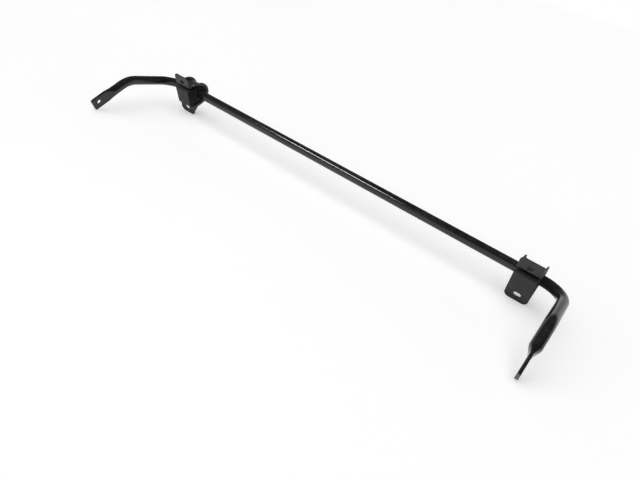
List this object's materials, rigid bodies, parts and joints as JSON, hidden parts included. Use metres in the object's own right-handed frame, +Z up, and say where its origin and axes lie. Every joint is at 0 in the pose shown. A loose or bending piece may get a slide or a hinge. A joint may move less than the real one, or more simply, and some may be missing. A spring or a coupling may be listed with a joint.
{
  "type": "sway bar",
  "caption": "U-shaped tubular steel sway bar with cranked arms, flattened drilled ends and rubber-bushed slotted saddle brackets that turn on the bar.",
  "frame": {"origin": "middle of the footprint on the surface the part rests on", "axes": "+X along the bar from the left clamp to the right, arms forward along -Y, +Z up, as it lies at rest on its lower tabs and tips"},
  "size_m": [1.115, 0.2756, 0.1041],
  "materials": {
    "bar_paint": "gloss black paint",
    "bracket_paint": "satin black coating",
    "bush_rubber": "moulded black rubber"
  },
  "bodies": {
    "bar": {"sway_bar": "bar_paint"},
    "left_clamp": {"left_bush": "bush_rubber", "left_bracket": "bracket_paint"},
    "right_clamp": {"right_bush": "bush_rubber", "right_bracket": "bracket_paint"}
  },
  "joints": [
    {"name": "left_clamp_turn", "type": "hinge", "parent": "bar", "child": "left_clamp", "pos_m": [-0.4725, 0.10883, 0.05862], "axis": [1, 0, 0], "continuous": true},
    {"name": "right_clamp_turn", "type": "hinge", "parent": "bar", "child": "right_clamp", "pos_m": [0.4725, 0.10883, 0.05862], "axis": [1, 0, 0], "continuous": true}
  ]
}
